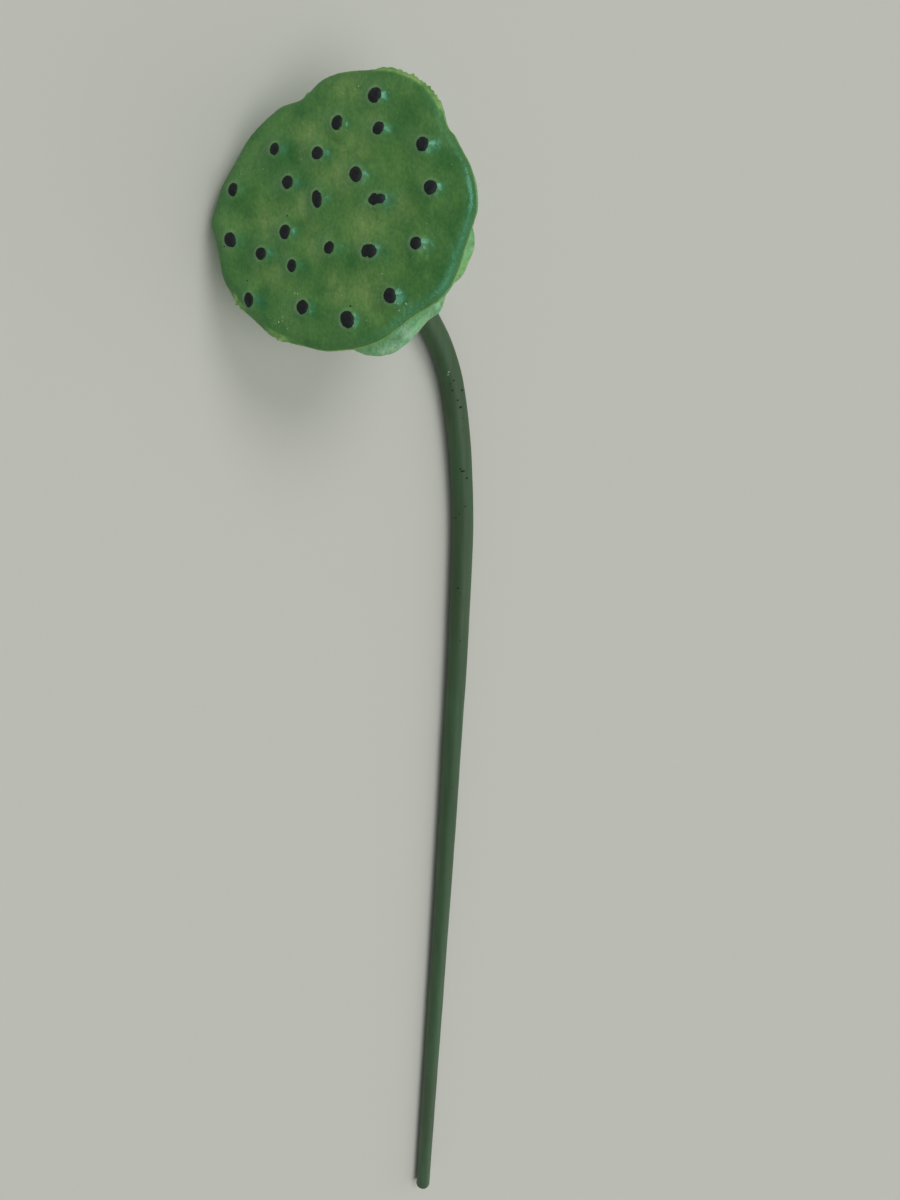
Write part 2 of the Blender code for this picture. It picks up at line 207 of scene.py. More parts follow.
# Painted highlight: pale blue-green beside the right side of each tip
PAINTED_GLINT = (2.9, -0.3, 1.5)
SHADE_AND_GLINT_STRENGTH = 0.70           # of the weakest, and the steps to the stronger ones
SHADE_AND_GLINT_STEP = 0.10
SEED_REACH = 5.5 * MM           # the straw colour is weaker up to this far from a seed
# Thin pale ring round each tip, the pod's own paint with painted light on one side: its margin in mm, then
# its radius and width as shares of the tip's reach
RING_MARGIN = 0.3
RING_RADIUS = 1.05
RING_WIDTH = 0.22
RING_LIT_SIDE = 150.0           # angle of its strongest side, where painted light makes it paler, in degrees
RING_STRENGTH = (0.6, 0.4)      # all round, and what that side has more as painted light

# How the head lies: its lean from upright and the compass angle that it leans to, in degrees
HEAD_LEAN = 51.0
HEAD_TOWARD = 155.0
HEAD_PLACE = Vector((14.4, -6.8, 41.2)) * MM     # middle of the face's edge plane

# Stem
STEM_RADIUS = 5.2 * MM          # at the neck
STEM_END_RADIUS = 4.4 * MM
STEM_GAP = 0.3 * MM             # clearance in the socket
STEM_STRAIGHT = 4.0 * MM        # it runs on straight below the neck for this far
STEM_SETTLE = 60.0 * MM         # and lies along the surface after this length
# Points of the stem's centre line in mm: the bend below the head, then the run along the surface
STEM_BEND = ((57.5, -29.3, 8.8), (64.6, -38.8, 6.0))
STEM_RUN = (
    (71.7, -50.1), (77.8, -60.5), (82.1, -71.4), (84.7, -81.4), (87.4, -98.5), (89.2, -117.4),
    (90.2, -137.0), (90.1, -157.0), (89.0, -184.6), (87.0, -226.3), (84.6, -263.0), (81.9, -307.7),
    (77.8, -369.2), (72.6, -443.7), (66.5, -529.0), (60.9, -607.5),
)
# Uneven surface of the stem: broad lumps, then fine ones that run along it
STEM_LUMP = (0.10 * MM, 24.0 * MM, 2)
STEM_GRAIN = (0.03 * MM, 2.2 * MM, 2)
STEM_GRAIN_STRETCH = 0.12
STEM_LUMPS_START = 8.0 * MM     # it is smooth in the socket, and has its full lumps this far below
STEM_LIGHT_END = 20.0 * MM      # the skin is lighter near the head, as far as this
STEM_LIGHT_FADE = 55.0 * MM     # and takes this much further to reach its full colour
# Section of the cut end: share of its radius, and how far it stands out there in mm
CUT_PROFILE = ((0.97, 0.25), (0.90, 0.32), (0.8, 0.15), (0.6, -0.15), (0.3, -0.3), (0.05, -0.35))
CUT_COLOURED = (0.4, 1.0, 1.0, 1.0, 1.0, 1.0)    # share of the cut's own colour on each of those rings
CUT_WAVE = 0.12 * MM
# Dark flecks on the stem: distance along it and size in mm, and their turn round it from the top, in degrees
FLECKS = (
    (74.9, 0.6, 20), (75.9, 0.4, 40), (78.1, 0.6, 36), (80.5, 0.8, -16), (83.0, 0.6, 18), (86.4, 0.9, 8),
    (91.4, 0.4, 4), (97.0, 0.3, 14), (101, 0.3, -12), (115.9, 0.7, 22), (116.1, 0.8, 30), (115.8, 0.6, 38),
    (119.5, 0.7, 8), (133, 0.5, 22), (136.7, 0.4, 54), (139.1, 0.5, 76), (175.8, 0.7, 52), (178, 0.4, 40),
    (203, 0.5, 25), (236, 0.5, -18), (290, 0.4, 20), (352, 0.5, -5), (431, 0.4, 12), (540, 0.5, 0),
)
PALE_FLECKS = ((70.5, 0.6, 34), (70.6, 0.5, 40))
FLECK_SHAPE = (0.8, 1.3, 0.25)  # width, length and height of a fleck, as shares of its size
FLECK_RADIUS = 0.7

# Fineness of the meshes
FINE_RADIUS = 37.5 * MM         # the face's rings are closer outside this
HEAD_SIDES = 432
FACE_RINGS = 80
FIRST_RING = 0.02               # the first ring's radius, as a share of the step between rings
EDGE_RINGS = 24
LIP_RINGS = 14
GROOVE_RINGS = 6
CUP_RINGS = 78
STEM_SIDES = 40
STEM_STEP = 1.2 * MM

# Camera: where it stands from the middle of the face, how far its line of sight leans, and its field of view
CAMERA_FROM_FACE = Vector((-164.1, 10.3, 284.1)) * MM
SIGHT_RIGHT = 36.0              # degrees from straight down, towards +X
SIGHT_BACK = 30.0               # degrees from straight down, towards -Y
SENSOR_LONG_SIDE = 34.6
LENS = 26.0

# Lights: a high and a low window and a broad side, with direction, strength, width in degrees and colour
SUNS = (
    ("window_high", (0.13, 0.64, 0.76), 0.88, 30.0, (0.96, 0.99, 1.0)),
    ("window_low", (-0.06, -0.16, 0.98), 0.66, 42.0, (0.96, 0.99, 1.0)),
    ("side", (0.62, -0.42, 0.66), 0.52, 80.0, (1.0, 0.99, 0.96)),
)
SURROUND_COLOUR = (0.86, 0.90, 0.94, 1.0)
SURROUND_STRENGTH = 0.33
FLOOR_COLOUR = (0.615, 0.605, 0.54, 1.0)
FLOOR_SIZE = 8.0
FLOOR_GAP = 0.3 * MM            # the floor lies this far below the pod

# Colours of the face
MID_GREEN = (0.083, 0.196, 0.034)
LIGHT_GREEN = (0.138, 0.268, 0.052)
STRAW_GREEN = (0.215, 0.325, 0.080)
DEEP_GREEN = (0.036, 0.130, 0.014)
# Teal of the dark patches beside the seeds, partly painted shade
TEAL_GREEN = (0.030, 0.130, 0.036)
# Colour of the painted highlight beside each tip
PAINTED_GLINT_GREEN = (0.060, 0.230, 0.105)
RING_GREEN = (0.230, 0.370, 0.160)
# Painted sheen: teal reflection painted along the glossy stretches of the edge
PAINTED_SHEEN_GREEN = (0.036, 0.165, 0.060)
CHALK_GREEN = (0.45, 0.52, 0.42)
# Colours of the cup
PALE_CUP = (0.305, 0.540, 0.290)
FRESH_CUP = (0.190, 0.450, 0.175)
YELLOW_CUP = (0.360, 0.490, 0.165)
DARK_CUP = (0.120, 0.270, 0.100)
WHITE_CUP = (0.40, 0.58, 0.36)
WARM_CUP = (0.235, 0.390, 0.070)
# Painted shade that darkens the cup towards the neck
NECK_SHADE_GREEN = (0.115, 0.220, 0.080)
# Pairs of colours that a fine noise mixes
LIP_GREENS = ((0.130, 0.320, 0.050), (0.310, 0.470, 0.120))
TIP_BLACKS = ((0.004, 0.006, 0.006), (0.011, 0.015, 0.015))
SPECK_GREENS = ((0.14, 0.28, 0.13), (0.38, 0.48, 0.34))
STEM_GREENS = ((0.034, 0.082, 0.029), (0.049, 0.114, 0.046))
CUT_GREENS = ((0.20, 0.27, 0.12), (0.34, 0.38, 0.20))
# Colours of the stem near the head, and in its olive stretches
STEM_NEAR_HEAD = (0.070, 0.135, 0.058)
STEM_OLIVE = (0.050, 0.078, 0.034)


def smooth_step(value):
    """0 below 0, 1 above 1, and an even rise between them."""
    t = np.clip(value, 0.0, 1.0)
    return t * t * (3.0 - 2.0 * t)


def bell(offset, width):
    """A round hump of height 1."""
    return np.exp(-(offset / width) ** 2)


def tent(offset, width):
    """A hump of height 1 with a sharp top."""
    return np.exp(-np.abs(offset) / width)


def full_turn(count):
    """Even angles once round, in radians."""
    return np.linspace(0.0, 2.0 * math.pi, count, endpoint=False)


def turn_from(angle, middle):
    """Turn from a middle angle to each angle, from -180 to 180 degrees."""
    return (angle - middle + 180.0) % 360.0 - 180.0


def around(angle, stretches, hump=bell):
    """Sum of the humps at an angle, each with its middle angle, half width and height."""
    total = np.zeros_like(angle)
    for middle, width, height in stretches:
        total += height * hump(turn_from(angle, middle), width)
    return total


def rough(points, scale, octaves=3):
    """Even noise from about -1 to 1 at each point, with lumps about scale across."""
    places = [Vector(place) for place in points.reshape(-1, 3) / scale]
    values = [noise.fractal(place, 1.0, 2.1, octaves, noise_basis="PERLIN_ORIGINAL") for place in places]
    return np.array(values).reshape(points.shape[:-1])


def lumps_at(points, sizes):
    """Sum of lumps of several sizes, each with its height, size and number of finer sizes."""
    return sum(height * rough(points, scale, octaves) for height, scale, octaves in sizes)


def high_side():
    """Direction in the head's own frame that points away from its low side."""
    return Vector((-math.cos(math.radians(HEAD_TOWARD)), -math.sin(math.radians(HEAD_TOWARD)), 0.0))


def head_matrix():
    """Place of the head: it leans over, towards one side, without turning about its own middle."""
    toward = Matrix.Rotation(math.radians(HEAD_TOWARD), 4, "Z")
    lean = Matrix.Rotation(math.radians(HEAD_LEAN), 4, "Y")
    return Matrix.Translation(HEAD_PLACE) @ toward @ lean @ toward.inverted()


def polar_place(distance, clock):
    """Place in the plane of the face, from a distance in mm and a clock angle in degrees."""
    angle = math.radians(clock)
    return distance * MM * math.cos(angle), distance * MM * math.sin(angle)


def seed_places():
    """Middle of each raised seed in the plane of the face."""
    return np.array([polar_place(seed[0], seed[1]) for seed in SEEDS])


def nearest_seed(x, y):
    """Distance from each point to the nearest seed, and which seed that is."""
    places = seed_places()
    distances = np.hypot(x[..., None] - places[:, 0], y[..., None] - places[:, 1])
    return distances.min(axis=-1), distances.argmin(axis=-1)


def edge_outline(angle):
    """How far the outline of the face stands out from its circle at an angle."""
    return around(angle, LOBES + EDGE_CORNERS) * MM


def torn_lift(angle):
    """How much less the edge turns down where the lip is torn."""
    return FRAY_LIFT * EDGE_DROP * smooth_step(around(angle, FRAY) * MM / FRAY_FULL)


def ring_radius(x, y, angle):
    """Radius, before the outline's lobes spread it, of the ring that a point of the face lies on."""
    reach = np.hypot(x, y)
    spread = edge_outline(angle) / EDGE_RADIUS ** 2
    return 2.0 * reach / (1.0 + np.sqrt(1.0 + 4.0 * spread * reach))


def seed_relief(x, y):
    """Height of the mounds and peaks of the seeds and of the shallow rings round them."""
    distance, which = nearest_seed(x, y)
    peaks = np.array(SEED_PEAKS)[which] * MM
    mound = SEED_MOUND * bell(distance, SEED_MOUND_SPREAD)
    peak = peaks * np.exp(-(distance / SEED_PEAK_SPREAD) ** SEED_PEAK_STEEPNESS)
    return mound + peak - MOAT_DEPTH * bell(distance - MOAT_RADIUS, MOAT_WIDTH)


def swell_at(x, y):
    """Height of the low waves between the seeds."""
    across = np.sin(x / SWELL_LENGTH + SWELL_START[0])
    return SWELL * across * np.cos(y / (SWELL_STRETCH * SWELL_LENGTH) + SWELL_START[1])


def face_height(x, y):
    """Height of the face and its turned-down edge, with the raised seeds and the swell between them."""
    angle = np.degrees(np.arctan2(y, x))
    radius = ring_radius(x, y, angle)
    width = TURN_WIDTH + around(angle, TURN_WIDER) * MM
    out = np.clip(1.0 - (EDGE_RADIUS - radius) / width, 0.0, 1.0)
    dome = FACE_DOME * np.maximum(1.0 - (radius / EDGE_RADIUS) ** 2, 0.0)
    drop = (EDGE_DROP - torn_lift(angle)) * (1.0 - np.sqrt(1.0 - out ** EDGE_SQUARENESS))
    relief = (seed_relief(x, y) + swell_at(x, y)) * (1.0 - out ** 3)
    lumps = lumps_at(np.stack([x, y, np.zeros_like(x)], axis=-1), FACE_LUMPS)
    return dome - drop + relief + lumps * (1.0 - EDGE_SMOOTHING * smooth_step(out))


def face_rings():
    """Rings of the face, each with its radius, height and zone; the face's own height is added later."""
    inner = [FINE_RADIUS * (i + FIRST_RING) / FACE_RINGS for i in range(FACE_RINGS)]
    turns = [0.5 * math.pi * i / EDGE_RINGS for i in range(EDGE_RINGS + 1)]
    outer = [FINE_RADIUS + (EDGE_RADIUS - FINE_RADIUS) * math.sin(turn) for turn in turns]
    return [(radius, 0.0, "face") for radius in inner + outer]


def lip_rings():
    """Rings round the thin lip."""
    rings = []
    for i in range(1, LIP_RINGS + 1):
        turn = math.pi * i / LIP_RINGS
        height = -EDGE_DROP - 0.5 * LIP_HEIGHT * (1.0 - math.cos(turn))
        rings.append((EDGE_RADIUS + LIP_OUT * math.sin(turn), height, "lip"))
    return rings


def groove_rings():
    """Rings of the crease between the lip and the cup's shoulder."""
    rings = []
    start = EDGE_DROP + LIP_HEIGHT
    for i in range(1, GROOVE_RINGS + 1):
        t = i / GROOVE_RINGS
        dip = (EDGE_RADIUS - GROOVE_RADIUS) * math.sin(math.pi * t)
        radius = EDGE_RADIUS + (SHOULDER_RADIUS - EDGE_RADIUS) * t - dip
        rings.append((radius, -start + (start - SHOULDER_DEPTH) * t, "cup"))
    return rings


def cup_rings():
    """Rings from the cup's shoulder to the end of the neck."""
    rings = []
    for i in range(1, CUP_RINGS + 1):
        t = i / CUP_RINGS
        spread = (1.0 - t ** CUP_FULLNESS) ** CUP_FLARE
        depth = SHOULDER_DEPTH + (NECK_END - SHOULDER_DEPTH) * t
        rings.append((NECK_RADIUS + (SHOULDER_RADIUS - NECK_RADIUS) * spread, -depth, "cup"))
    return rings


def socket_rings():
    """Rings of the neck's rim and of the blind socket in it."""
    radius = STEM_RADIUS + STEM_GAP
    floor = -NECK_END + SOCKET_LENGTH
    return [
        (radius + SOCKET_ROUNDING, -NECK_END - SOCKET_RIM, "socket"),
        (radius, -NECK_END, "socket"),
        (radius, floor, "socket"),
        (SOCKET_POINT, floor, "socket"),
    ]


def lip_share(radius, zone):
    """0 off the lip and where it leaves the edge, and 1 on its outermost ring."""
    return (zone == "lip") * np.clip((radius - EDGE_RADIUS) / LIP_OUT, 0.0, 1.0)


def below_groove(depth):
    """0 above the groove and 1 below the cup's shoulder."""
    return smooth_step((depth - GROOVE_DEPTH) / (SHOULDER_DEPTH - GROOVE_DEPTH))


def fringe_at(angle):
    """How far the torn and wavy lip stands out, and how far it bends up, at each angle."""
    turn = np.radians(angle)
    circle = np.stack([np.cos(turn), np.sin(turn), 0.0 * turn], axis=-1) * EDGE_RADIUS
    teeth = rough(circle, FRAY_LUMP, 4)
    wave = rough(circle, LIP_WAVE_LENGTH)
    torn = around(angle, FRAY) * MM
    out = LIP_WAVE_OUT * wave - LIP_INSET + torn * (FRAY_OUT[0] + FRAY_OUT[1] * teeth)
    return out, FRAY_UP * torn * teeth + LIP_WAVE_UP * wave


def cup_reach(angle, radius, depth):
    """How far the cup reaches out, with its bulges and creases, which fade out towards the neck."""
    down = below_groove(depth)
    fade = 1.0 - smooth_step((depth - SHOULDER_DEPTH) / (LOBES_END - SHOULDER_DEPTH))
    follow = 1.0 - (1.0 - CUP_FOLLOW) * down
    outline = down * around(angle, LOBES) * MM + (1.0 - down) * edge_outline(angle)
    bulges = (around(angle, CUP_BULGES + CUP_CORNERS) + around(angle, CREASES, tent)) * MM
    return radius + fade * (follow * outline + down * bulges)


def head_reach(angle, radius, depth, zone, fringe):
    """How far each ring reaches out from the middle at each angle."""
    outline = edge_outline(angle)
    face = radius * (1.0 + radius * outline / EDGE_RADIUS ** 2)
    lip = radius + outline + lip_share(radius, zone) * fringe
    cup = cup_reach(angle, radius, depth)
    return np.select([zone == "face", zone == "lip", zone == "cup"], [face, lip, cup], radius)


def neck_shift(depth):
    """How far the cup and neck are moved sideways at each depth."""
    share = smooth_step((depth - SHOULDER_DEPTH) / (NECK_SHIFT_END - SHOULDER_DEPTH))
    away = high_side() * NECK_SHIFT
    return away.x * share, away.y * share


def head_points():
    """Every ring of the head as points, and the masks that its material reads."""
    rings = face_rings() + lip_rings() + groove_rings() + cup_rings() + socket_rings()
    radius, height, zone = (np.array(values)[:, None] for values in zip(*rings))
    depth = -height
    angle = np.linspace(0.0, 360.0, HEAD_SIDES, endpoint=False)[None, :]
    turn = np.radians(angle)
    fringe_out, fringe_up = fringe_at(angle)
    reach = head_reach(angle, radius, depth, zone, fringe_out)
    x, y = reach * np.cos(turn), reach * np.sin(turn)
    places = np.stack([x, y, np.broadcast_to(height, x.shape)], axis=-1)
    lumps = (zone == "cup") * below_groove(depth) * lumps_at(places, CUP_LUMPS)
    x, y = x + lumps * np.cos(turn), y + lumps * np.sin(turn)
    lift_fade = 1.0 - smooth_step((depth - EDGE_DROP) / (GROOVE_DEPTH - EDGE_DROP))
    z = np.where(zone == "face", face_height(x, y), height)
    z = z + lip_share(radius, zone) * fringe_up
    z = z + (zone != "face") * torn_lift(angle) * lift_fade
    shift_x, shift_y = neck_shift(depth)
    points = np.stack([x + shift_x, y + shift_y, z], axis=-1)
    masks = {**face_masks(angle, radius, zone, x, y), **back_masks(angle, radius, depth, zone)}
    return points, {key: np.broadcast_to(value, x.shape) for key, value in masks.items()}


def face_masks(angle, radius, zone, x, y):
    """Masks of the face: its patches, what is round the seeds, and its edge."""
    distance, _ = nearest_seed(x, y)
    edge = smooth_step((radius - FINE_RADIUS) / (EDGE_RADIUS - FINE_RADIUS))
    masks = {
        "seed": bell(distance, SEED_REACH),
        "ring": ring_round_tips(x, y),
        "halo": beside_seeds(x, y, *HALO),
        "painted_glint": beside_seeds(x, y, *PAINTED_GLINT),
        "rim": around(angle, GLOSS_AND_PAINTED_SHEEN) * bell(radius - GLOSS_AND_SHEEN_RADIUS, GLOSS_AND_SHEEN_REACH),
        "straw": patches_at(x, y, STRAW),
        "dark": patches_at(x, y, DARK),
        "chalk": patches_at(x, y, CHALK),
        "edge": edge,
    }
    return {key: (zone == "face") * value for key, value in masks.items()}


def back_masks(angle, radius, depth, zone):
    """Masks of the lip with its torn stretches, and of the cup."""
    torn = smooth_step(around(angle, FRAY) * MM / TORN_FULL)
    outer = smooth_step((radius - TORN_START) / TORN_RISE)
    below_lip = smooth_step((depth - EDGE_DROP - CUP_START * LIP_HEIGHT) / CUP_RISE)
    warm = around(angle, WARM) * bell(depth - EDGE_DROP - LIP_HEIGHT, WARM_REACH)
    return {
        "lip": lip_share(radius, zone),
        "fray": torn * outer * ((zone == "face") | (zone == "lip")),
        "cup": ((zone == "cup") | (zone == "socket")) * below_lip,
        "warm": (zone == "cup") * warm,
        "depth": np.clip(depth / NECK_END, 0.0, 1.0),
    }


def beside_seeds(x, y, right, up, reach):
    """Soft patch beside each seed, of a strength that changes from seed to seed."""
    total = np.zeros_like(x)
    for number, (px, py) in enumerate(seed_places()):
        strength = SHADE_AND_GLINT_STRENGTH + SHADE_AND_GLINT_STEP * (number * 3 % 4)
        distance = np.hypot(x - px - right * MM, y - py - up * MM)
        total = np.maximum(total, strength * bell(distance, reach * MM))
    return total


def ring_round_tips(x, y):
    """Thin ring round each tip, with painted light that makes it stronger on its upper left."""
    total = np.zeros_like(x)
    for (px, py), (_, _, width, length) in zip(seed_places(), SEEDS):
        rx, ry = (0.5 * width + RING_MARGIN) * MM, (0.5 * length + RING_MARGIN) * MM
        share = np.hypot((x - px) / rx, (y - py) / ry)
        lit = np.cos(np.arctan2(y - py, x - px) - math.radians(RING_LIT_SIDE))
        strength = RING_STRENGTH[0] + RING_STRENGTH[1] * lit
        total = np.maximum(total, strength * bell(share - RING_RADIUS, RING_WIDTH))
    return total


def patches_at(x, y, patches):
    """Soft round patches, each given by its distance from the middle, clock angle and reach."""
    total = np.zeros_like(x)
    for distance, clock, reach in patches:
        px, py = polar_place(distance, clock)
        total = np.maximum(total, bell(np.hypot(x - px, y - py), reach * MM))
    return total


def with_ends(values):
    """Values of every ring in one row, followed by the mean of the first ring and of the last."""
    flat = values.reshape(-1, *values.shape[2:])
    return np.concatenate([flat, values[:1].mean(axis=1), values[-1:].mean(axis=1)]).astype(np.float32)


def laid_down(points, matrix):
    """Points of an object's own frame where they lie, with those below the surface pressed up to it."""
    placed = points @ np.array(matrix.to_3x3()).T + np.array(matrix.translation)
    placed[..., 2] = np.maximum(placed[..., 2], 0.0)
    return placed


def grid_faces(rings, sides):
    """Faces between rings of points, and round the middle point at each end."""
    index = np.arange(rings * sides).reshape(rings, sides)
    onward = np.roll(index, -1, axis=1)
    quads = np.stack([index[:-1], index[1:], onward[1:], onward[:-1]], axis=-1).reshape(-1, 4)
    first, last = rings * sides, rings * sides + 1
    start = [(first, a, b) for a, b in zip(index[0].tolist(), onward[0].tolist())]
    end = [(last, b, a) for a, b in zip(index[-1].tolist(), onward[-1].tolist())]
    return quads.tolist() + start + end


def add_place(mesh, places):
    """Keep places on a mesh's points, for its material to read."""
    own = mesh.attributes.new("own_place", "FLOAT_VECTOR", "POINT")
    own.data.foreach_set("vector", np.array(places, dtype=np.float32).ravel())


def grid_mesh(name, points, matrix, masks):
    """Closed mesh from rings of points, with a middle point at each end, and its masks on its points."""
    verts = with_ends(laid_down(points, matrix))
    mesh = bpy.data.meshes.new(name)
    mesh.from_pydata(verts.tolist(), [], grid_faces(*points.shape[:2]))
    add_place(mesh, with_ends(points))
    for key, values in masks.items():
        mesh.attributes.new(key, "FLOAT", "POINT").data.foreach_set("value", with_ends(values))
    mesh.shade_smooth()
    mesh.validate()
    return mesh


def add_object(name, mesh, mat):
    """Object with its material, in the scene's own collection."""
    obj = bpy.data.objects.new(name, mesh)
    mesh.materials.append(mat)
    bpy.context.scene.collection.objects.link(obj)
    return obj


def make_head(mat):
    """The seed head in one piece: face, raised seeds, edge, ragged lip, cup, neck and the stem's socket."""
    points, masks = head_points()
    head = add_object("seed_head_skin", grid_mesh("seed_head_skin", points, head_matrix(), masks), mat)
    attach(head, "root")
    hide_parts("seed_head")


def tip_outline(angle, width, length, number):
    """Uneven outline of a dark tip: its reach at each angle."""
    rx, ry = 0.5 * width * MM, 0.5 * length * MM
    reach = rx * ry / np.hypot(ry * np.cos(angle), rx * np.sin(angle))
    for tip, middle, half_width, share in TIP_NOTCHES:
        if tip == number:
            reach = reach * (1.0 - share * bell(turn_from(np.degrees(angle), middle), half_width))
    circle = np.stack([np.cos(angle), np.sin(angle), np.full_like(angle, TIP_APART * number)], axis=-1)
    return reach * (1.0 + lumps_at(circle, TIP_ROUGHNESS))


def tip_points(place, width, length, turn, number):
    """Rings of points over one tip or speck, from its middle out and a little under its edge."""
    angle = full_turn(TIP_SIDES)
    reach = tip_outline(angle + turn, width, length, number)
    rings = []
    for share, rise in TIP_PROFILE:
        x = place[0] + reach * share * np.cos(angle)
        y = place[1] + reach * share * np.sin(angle)
        rings.append(np.stack([x, y, face_height(x, y) + TIP_EDGE + TIP_RISE * rise], axis=-1))
    return np.stack(rings)


def seed_tip_points():
    """Points over the dark tip of each seed."""
    pieces = []
    for number, (distance, clock, width, length) in enumerate(SEEDS):
        turn = math.radians(TIP_LEANS[number])
        pieces.append(tip_points(polar_place(distance, clock), width, length, turn, number))
    return pieces


def speck_points(specks):
    """Points over small specks, each given by its distance from the middle, clock angle and size."""
    pieces = []
    for number, (distance, clock, size) in enumerate(specks):
        turn, after_seeds = SPECK_TURN * number, number + len(SEEDS)
        pieces.append(tip_points(polar_place(distance, clock), SPECK_WIDTH * size, size, turn, after_seeds))
    return pieces


def add_joined(name, pieces, mat):
    """One object from several sets of rings on the face."""
    verts, faces = [], []
    for points in pieces:
        piece = grid_mesh("part", points, head_matrix(), {})
        start = len(verts)
        verts += [tuple(vert.co) for vert in piece.vertices]
        faces += [[start + i for i in face.vertices] for face in piece.polygons]
        bpy.data.meshes.remove(piece)
    joined = bpy.data.meshes.new(name)
    joined.from_pydata(verts, [], faces)
    joined.shade_smooth()
    add_place(joined, verts)
    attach(add_object(name, joined, mat), "root")


def stem_controls():
    """Points that the stem's centre line passes through, from the top of the socket to the cut end."""
    heights = (SOCKET_LENGTH - STEM_GAP, 0.5 * SOCKET_LENGTH, 0.0, -STEM_STRAIGHT)
    away = high_side() * NECK_SHIFT
    in_neck = [head_matrix() @ (away + Vector((0, 0, height - NECK_END))) for height in heights]
    bend = [Vector(place) * MM for place in STEM_BEND]
    run = [Vector((x * MM, y * MM, STEM_RADIUS)) for x, y in STEM_RUN]
    return np.array([*in_neck, *bend, *run])


def smooth_through(points, spacing):
    """Points along a smooth curve through the given ones."""
    padded = np.concatenate([[2 * points[0] - points[1]], points, [2 * points[-1] - points[-2]]])
    result = []
    for before, start, end, after in zip(padded, padded[1:], padded[2:], padded[3:]):
        count = max(1, round(np.linalg.norm(end - start) / spacing))
        for i in range(count):
            t = i / count
            result.append(0.5 * (
                2 * start + (end - before) * t + (2 * before - 5 * start + 4 * end - after) * t ** 2
                + (3 * start - before - 3 * end + after) * t ** 3
            ))
    return np.array([*result, points[-1]])


def stem_line():
    """Centre line of the stem: its points, its length so far, its radius and its two sideways directions."""
    line = smooth_through(stem_controls(), STEM_STEP)
    along = np.gradient(line, axis=0)
    along /= np.linalg.norm(along, axis=1)[:, None]
    side = np.cross(along, (0.0, 0.0, 1.0))
    side /= np.linalg.norm(side, axis=1)[:, None]
    up = np.cross(side, along)
    length = np.concatenate([[0.0], np.cumsum(np.linalg.norm(np.diff(line, axis=0), axis=1))])
    thin = (STEM_END_RADIUS / STEM_RADIUS - 1.0) * smooth_step(length / length[-1])
    line[:, 2] = np.maximum(line[:, 2], STEM_RADIUS) + STEM_RADIUS * thin * smooth_step(length / STEM_SETTLE)
    return line, length, STEM_RADIUS * (1.0 + thin), side, up


def stem_rings(line, length, radius, side, up):
    """Rings of the stem round its centre line, with its uneven surface below the socket."""
    angle = full_turn(STEM_SIDES)
    ring = np.cos(angle)[None, :, None] * side[:, None] + np.sin(angle)[None, :, None] * up[:, None]
    where = line[:, None] + ring * radius[:, None, None]
    along_it = where * np.array([1.0, STEM_GRAIN_STRETCH, 1.0])
    uneven = lumps_at(where, (STEM_LUMP,)) + lumps_at(along_it, (STEM_GRAIN,))
    uneven = uneven * smooth_step((length - SOCKET_LENGTH) / STEM_LUMPS_START)[:, None]
    return line[:, None] + ring * (radius[:, None] + uneven)[..., None]


def cut_rings(last_ring, end, onward):
    """Rings of the dished cut at the stem's far end, from its edge to its middle."""
    angle = full_turn(STEM_SIDES)
    rings = []
    for share, dish in CUT_PROFILE:
        wave = CUT_WAVE * np.sin(3 * angle + 4 * share)[:, None]
        rings.append(end + (last_ring - end) * share + onward * (dish * MM + wave))
    return np.array(rings)


def stem_points():
    """Every ring of the stem as points, and the masks that its material reads."""
    line, length, radius, side, up = stem_line()
    rings = stem_rings(line, length, radius, side, up)
    onward = (line[-1] - line[-2]) / np.linalg.norm(line[-1] - line[-2])
    points = np.concatenate([rings, cut_rings(rings[-1], line[-1], onward)])
    near_head = 1.0 - smooth_step((length - STEM_LIGHT_END) / STEM_LIGHT_FADE)
    masks = {
        "cut": np.append(np.zeros(len(length)), CUT_COLOURED),
        "near_head": np.append(near_head, np.zeros(len(CUT_PROFILE))),
    }
    return points, {key: np.broadcast_to(value[:, None], points.shape[:2]) for key, value in masks.items()}


def make_stem(mat):
    """The stem from its socket in the neck to its cut end."""
    points, masks = stem_points()
    stem = add_object("stem_skin", grid_mesh("stem_skin", points, Matrix.Identity(4), masks), mat)
    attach(stem, "root")
    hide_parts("stem")


def make_flecks(name, flecks, mat):
    """Small flat flecks on the upper side of the stem, as one piece."""
    line, length, radius, side, up = stem_line()
    bm = bmesh.new()
    for distance, size, turn in flecks:
        i = int(np.searchsorted(length, distance * MM))
        out = Vector(math.sin(math.radians(turn)) * side[i] + math.cos(math.radians(turn)) * up[i])
        place = Matrix.Translation(Vector(line[i]) + out * radius[i])
        facing_out = out.to_track_quat("Z", "Y").to_matrix().to_4x4()
        on_stem = place @ facing_out @ Matrix.Diagonal((*FLECK_SHAPE, 1.0))
        bmesh.ops.create_icosphere(bm, subdivisions=2, radius=FLECK_RADIUS * size * MM, matrix=on_stem)
    mesh = bpy.data.meshes.new(name)
    bm.to_mesh(mesh)
    bm.free()
    mesh.shade_smooth()
    add_place(mesh, [vert.co for vert in mesh.vertices])
    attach(add_object(name, mesh, mat), "root")


